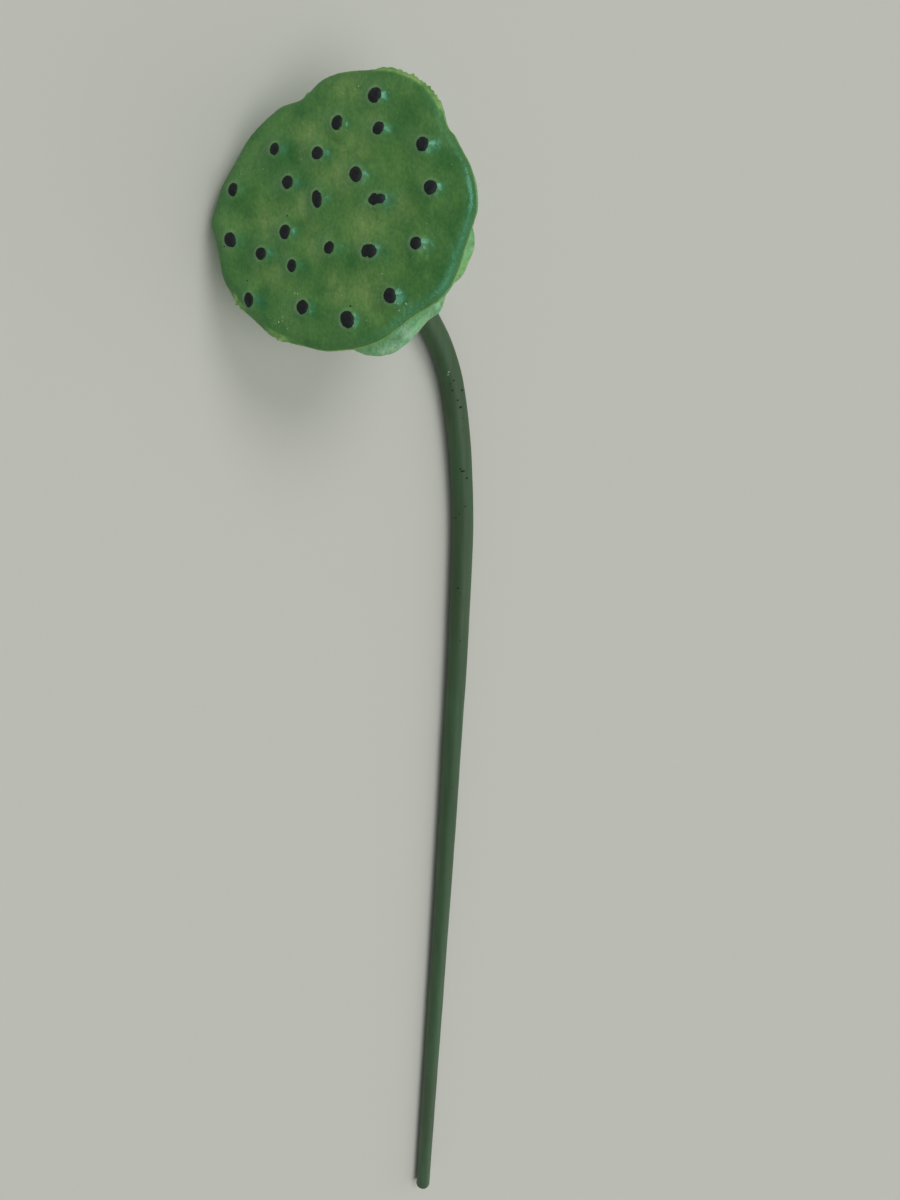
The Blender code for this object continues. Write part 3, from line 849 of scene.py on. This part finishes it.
class Nodes:
    """Short ways to add and join shader nodes of one material."""

    def __init__(self, name):
        self.material = bpy.data.materials.new(name)
        self.material.use_nodes = True
        self.tree = self.material.node_tree
        self.shader = self.tree.nodes["Principled BSDF"]

    def put(self, socket, value):
        """Set a socket, or link an output to it."""
        if isinstance(value, bpy.types.NodeSocket):
            self.tree.links.new(value, socket)
        elif isinstance(value, tuple) and len(value) == 3 and socket.type == "RGBA":
            socket.default_value = (*value, 1.0)
        else:
            socket.default_value = value

    def add(self, kind, **settings):
        """New node of a kind, with its properties set."""
        node = self.tree.nodes.new(kind)
        for key, value in settings.items():
            setattr(node, key, value)
        return node

    def mask(self, name):
        """Value that the mesh carries on its points."""
        return self.add("ShaderNodeAttribute", attribute_name=name).outputs["Fac"]

    def place(self, stretch=(1.0, 1.0, 1.0)):
        """Coordinates in the object's own frame, stretched."""
        own = self.add("ShaderNodeAttribute", attribute_name="own_place")
        mapping = self.add("ShaderNodeMapping")
        self.put(mapping.inputs["Vector"], own.outputs["Vector"])
        mapping.inputs["Scale"].default_value = stretch
        return mapping.outputs["Vector"]

    def cloud(self, scale, detail=3.0, rough_share=0.5, stretch=(1.0, 1.0, 1.0), distortion=0.0):
        """Soft noise, scale in lumps a metre."""
        node = self.add("ShaderNodeTexNoise")
        self.put(node.inputs["Vector"], self.place(stretch))
        node.inputs["Scale"].default_value = scale
        node.inputs["Detail"].default_value = detail
        node.inputs["Roughness"].default_value = rough_share
        node.inputs["Distortion"].default_value = distortion
        return node.outputs["Fac"]

    def spots(self, scale):
        """Distance from a scatter of points, and a chance value for each point; scale in points a metre."""
        node = self.add("ShaderNodeTexVoronoi", feature="F1")
        self.put(node.inputs["Vector"], self.place())
        node.inputs["Scale"].default_value = scale
        node.inputs["Randomness"].default_value = 1.0
        split = self.add("ShaderNodeSeparateColor")
        self.put(split.inputs["Color"], node.outputs["Color"])
        return node.outputs["Distance"], split.outputs["Red"]

    def span(self, value, low, high, to_low=0.0, to_high=1.0):
        """Value spread from low..high to another span, and held at its ends."""
        node = self.add("ShaderNodeMapRange")
        self.put(node.inputs["Value"], value)
        node.inputs["From Min"].default_value = low
        node.inputs["From Max"].default_value = high
        node.inputs["To Min"].default_value = to_low
        node.inputs["To Max"].default_value = to_high
        return node.outputs["Result"]

    def both(self, operation, a, b):
        """Two values put together by a Math node."""
        node = self.add("ShaderNodeMath", operation=operation)
        self.put(node.inputs[0], a)
        self.put(node.inputs[1], b)
        return node.outputs["Value"]

    def times(self, a, b):
        """Product of two values."""
        return self.both("MULTIPLY", a, b)

    def mix(self, share, a, b):
        """Colour between a and b."""
        node = self.add("ShaderNodeMix", data_type="RGBA", blend_type="MIX")
        self.put(node.inputs["Factor"], share)
        self.put(node.inputs["A"], a)
        self.put(node.inputs["B"], b)
        return node.outputs["Result"]

    def scaled(self, colour, factor):
        """Colour made lighter or darker by a factor."""
        node = self.add("ShaderNodeVectorMath", operation="SCALE")
        self.put(node.inputs["Vector"], colour)
        self.put(node.inputs["Scale"], factor)
        return node.outputs["Vector"]

    def surface(self, colour, roughness, specular):
        """Give the surface its colour, its roughness and the strength of its highlights."""
        self.put(self.shader.inputs["Base Color"], colour)
        self.put(self.shader.inputs["Roughness"], roughness)
        self.put(self.shader.inputs["Specular IOR Level"], specular)

    def bump(self, height, distance, strength=1.0):
        """Fine relief that the mesh is too coarse for."""
        node = self.add("ShaderNodeBump")
        self.put(node.inputs["Height"], height)
        node.inputs["Distance"].default_value = distance
        node.inputs["Strength"].default_value = strength
        self.put(self.shader.inputs["Normal"], node.outputs["Normal"])


def face_colour(n, streaks, brushed):
    """Greens of the face: brushed streaks, straw and dark patches, what lies round the seeds with its painted
    shade and painted light, and a painted teal sheen along the edge.
    """
    blotch = n.span(n.cloud(170.0), 0.32, 0.64, 0.35, 1.0)
    light = n.times(n.span(n.cloud(60.0, 4.0, 0.6), 0.40, 0.62), brushed)
    colour = n.mix(light, MID_GREEN, LIGHT_GREEN)
    deep = n.span(n.cloud(75.0, 3.0, 0.6, (1.0, 0.7, 1.0), 0.5), 0.48, 0.68, 0.0, 0.7)
    colour = n.mix(deep, colour, DEEP_GREEN)
    between_seeds = n.span(n.mask("seed"), 0.1, 0.8, 1.0, 0.3)
    broken = n.span(n.cloud(150.0, 3.0, 0.6, (1.0, 0.8, 1.0), 0.8), 0.34, 0.56, 0.1, 1.0)
    straw = n.times(n.times(n.mask("straw"), between_seeds), n.times(brushed, broken))
    colour = n.mix(straw, colour, STRAW_GREEN)
    colour = n.mix(n.times(n.mask("dark"), blotch), colour, DEEP_GREEN)
    # Dark patch beside each seed: partly the pod's own paint, partly painted shade
    beside = n.mix(n.span(n.cloud(75.0), 0.4, 0.6), DEEP_GREEN, TEAL_GREEN)
    colour = n.mix(n.times(n.mask("halo"), blotch), colour, beside)
    colour = n.mix(n.times(n.mask("edge"), 0.4), colour, DEEP_GREEN)
    # Painted highlight: pale blue-green beside each tip
    colour = n.mix(n.times(n.mask("painted_glint"), 0.45), colour, PAINTED_GLINT_GREEN)
    # Pale ring round each tip, with painted light on its upper left
    colour = n.mix(n.times(n.mask("ring"), 0.50), colour, RING_GREEN)
    # Painted sheen: a teal reflection painted along the glossy stretches of the edge
    painted_sheen = n.times(n.mask("rim"), n.span(streaks, 0.35, 0.65, 0.2, 0.7))
    return n.mix(painted_sheen, colour, PAINTED_SHEEN_GREEN)


def lip_colour(n, face):
    """Yellow-green of the lip and of its torn stretches, over the colour of the face."""
    lip = n.mix(n.span(n.cloud(240.0), 0.35, 0.65), *LIP_GREENS)
    torn = n.times(n.mask("fray"), n.span(n.cloud(420.0), 0.30, 0.55, 0.45, 1.0))
    share = n.both("MAXIMUM", n.times(n.mask("lip"), 0.7), torn)
    return n.mix(share, face, lip)


def cup_colour(n, brushed):
    """Pale greens of the cup, with yellow, dark and whitish blotches, and painted shade that darkens it
    towards the neck.
    """
    cup = n.mix(n.span(n.cloud(90.0, 4.0, 0.6, (1.0, 1.0, 0.5)), 0.45, 0.68), FRESH_CUP, PALE_CUP)
    cup = n.mix(n.span(n.cloud(55.0), 0.54, 0.68, 0.0, 0.7), cup, YELLOW_CUP)
    cup = n.mix(n.span(n.cloud(210.0, 4.0, 0.7, (1.0, 1.0, 0.6)), 0.50, 0.62, 0.0, 0.6), cup, DARK_CUP)
    cup = n.mix(n.span(n.cloud(140.0, 4.0, 0.7), 0.52, 0.62, 0.0, 0.7), cup, WHITE_CUP)
    cup = n.mix(n.times(n.mask("warm"), brushed), cup, WARM_CUP)
    # Painted shade, darker towards the neck under the cup
    return n.mix(n.span(n.mask("depth"), 0.55, 1.0, 0.0, 0.6), cup, NECK_SHADE_GREEN)


def chalk_share(n):
    """Where the finest pale specks are: small uneven dots, only in the chalky patches."""
    distance, chance = n.spots(1100.0)
    dots = n.span(n.both("SUBTRACT", distance, n.times(chance, 0.34)), -0.04, 0.04, 1.0, 0.0)
    dots = n.times(dots, n.span(n.cloud(420.0, 2.0), 0.52, 0.60))
    return n.times(dots, n.span(n.mask("chalk"), 0.15, 0.8, 0.0, 0.55))


def pod_roughness(n):
    """Satin skin that is duller along the edge, apart from its glossy stretches."""
    plain_edge = n.span(n.both("SUBTRACT", n.mask("edge"), n.mask("rim")), 0.0, 1.0, 0.0, 0.35)
    edge = n.both("MAXIMUM", n.times(n.mask("rim"), 0.03), plain_edge)
    return n.both("ADD", n.span(n.cloud(120.0), 0.3, 0.7, 0.22, 0.34), edge)


def pod_material():
    """Skin of the seed head: streaked green face, yellow-green lip and pale cup."""
    n = Nodes("pod_skin_painted")
    streaks = n.cloud(260.0, 4.0, 0.65, (1.0, 0.28, 1.0), 0.4)
    brushed = n.span(streaks, 0.32, 0.68, 0.35, 1.0)
    colour = lip_colour(n, face_colour(n, streaks, brushed))
    colour = n.mix(n.mask("cup"), colour, cup_colour(n, brushed))
    colour = n.mix(chalk_share(n), colour, CHALK_GREEN)
    grain = n.span(n.cloud(1300.0, 3.0, 0.6, (1.0, 0.55, 1.0)), 0.3, 0.7, 0.80, 1.20)
    n.surface(n.scaled(colour, grain), pod_roughness(n), 0.9)
    n.shader.inputs["Specular Tint"].default_value = (0.35, 1.0, 0.82, 1.0)
    fine = n.times(n.cloud(900.0), n.span(n.mask("rim"), 0.0, 1.0, 1.0, 2.0))
    n.bump(n.both("ADD", fine, n.times(streaks, 0.8)), 0.00012, 0.7)
    return n.material


def tip_material():
    """Near-black matt tips."""
    n = Nodes("seed_tip_black")
    n.surface(n.mix(n.span(n.cloud(700.0), 0.35, 0.65), *TIP_BLACKS), 0.55, 0.3)
    n.bump(n.cloud(1500.0), 0.00008, 0.5)
    return n.material


def speck_material():
    """Pale chalky specks."""
    n = Nodes("speck_chalk")
    n.surface(n.mix(n.span(n.cloud(900.0), 0.4, 0.6), *SPECK_GREENS), 0.7, 0.5)
    return n.material


def stem_material():
    """Dark grey-green stem with faint streaks, lighter near the head, and a paler cut."""
    n = Nodes("stem_skin_green")
    streak = n.cloud(300.0, 4.0, 0.55, (1.0, 0.05, 1.0))
    colour = n.mix(n.span(streak, 0.35, 0.65), *STEM_GREENS)
    colour = n.mix(n.times(n.mask("near_head"), 0.7), colour, STEM_NEAR_HEAD)
    colour = n.mix(n.span(n.cloud(14.0, 2.0), 0.45, 0.70, 0.0, 0.4), colour, STEM_OLIVE)
    cut = n.mix(n.span(n.cloud(900.0), 0.4, 0.6), *CUT_GREENS)
    n.surface(n.mix(n.mask("cut"), colour, cut), n.span(n.cloud(80.0), 0.3, 0.7, 0.42, 0.52), 0.4)
    n.bump(n.both("ADD", streak, n.cloud(1200.0)), 0.0001, 0.5)
    return n.material


def floor_material():
    """Plain pale matt surface."""
    n = Nodes("floor_pale")
    n.surface(FLOOR_COLOUR, 0.9, 0.1)
    return n.material


def make_floor():
    """The pale surface that the pod lies on."""
    bpy.ops.mesh.primitive_plane_add(size=FLOOR_SIZE, location=(0.0, 0.0, -FLOOR_GAP))
    floor = bpy.context.object
    floor.name = "floor"
    floor.data.materials.append(floor_material())


def make_camera():
    """Camera that looks down on the pod at the photograph's angle."""
    lean_right, lean_back = math.radians(SIGHT_RIGHT), math.radians(SIGHT_BACK)
    sight = Vector((math.tan(lean_right), -math.tan(lean_back), -1.0)).normalized()
    right = sight.cross(Vector((0, 1, 0))).normalized()
    up = right.cross(sight)
    data = bpy.data.cameras.new("camera")
    data.sensor_fit = "AUTO"
    data.sensor_width = SENSOR_LONG_SIDE
    data.lens = LENS
    camera = bpy.data.objects.new("camera", data)
    bpy.context.scene.collection.objects.link(camera)
    axes = Matrix((right, up, -sight)).transposed().to_4x4()
    camera.matrix_world = Matrix.Translation(HEAD_PLACE + CAMERA_FROM_FACE) @ axes
    bpy.context.scene.camera = camera


def add_sun(name, toward, strength, width, colour):
    """Even light from far off: where it comes from, its strength and how wide it looks, in degrees."""
    data = bpy.data.lights.new(name, "SUN")
    data.energy = strength
    data.angle = math.radians(width)
    data.color = colour
    light = bpy.data.objects.new(name, data)
    light.rotation_euler = Vector(toward).to_track_quat("Z", "Y").to_euler()
    bpy.context.scene.collection.objects.link(light)


def make_light():
    """Window-like light from above, a broad one from the right and an even surround."""
    world = bpy.data.worlds.new("surround")
    world.use_nodes = True
    background = world.node_tree.nodes["Background"]
    background.inputs["Color"].default_value = SURROUND_COLOUR
    background.inputs["Strength"].default_value = SURROUND_STRENGTH
    bpy.context.scene.world = world
    for sun in SUNS:
        add_sun(*sun)
    bpy.context.scene.view_settings.view_transform = "Standard"


make_camera()
make_light()
make_floor()
make_head(pod_material())
black = tip_material()
add_joined("seed_tips", seed_tip_points() + speck_points(SPECKS), black)
chalk = speck_material()
add_joined("pale_specks", speck_points(PALE_SPECKS), chalk)
make_flecks("stem_flecks", FLECKS, black)
make_flecks("stem_pale_flecks", PALE_FLECKS, chalk)
make_stem(stem_material())
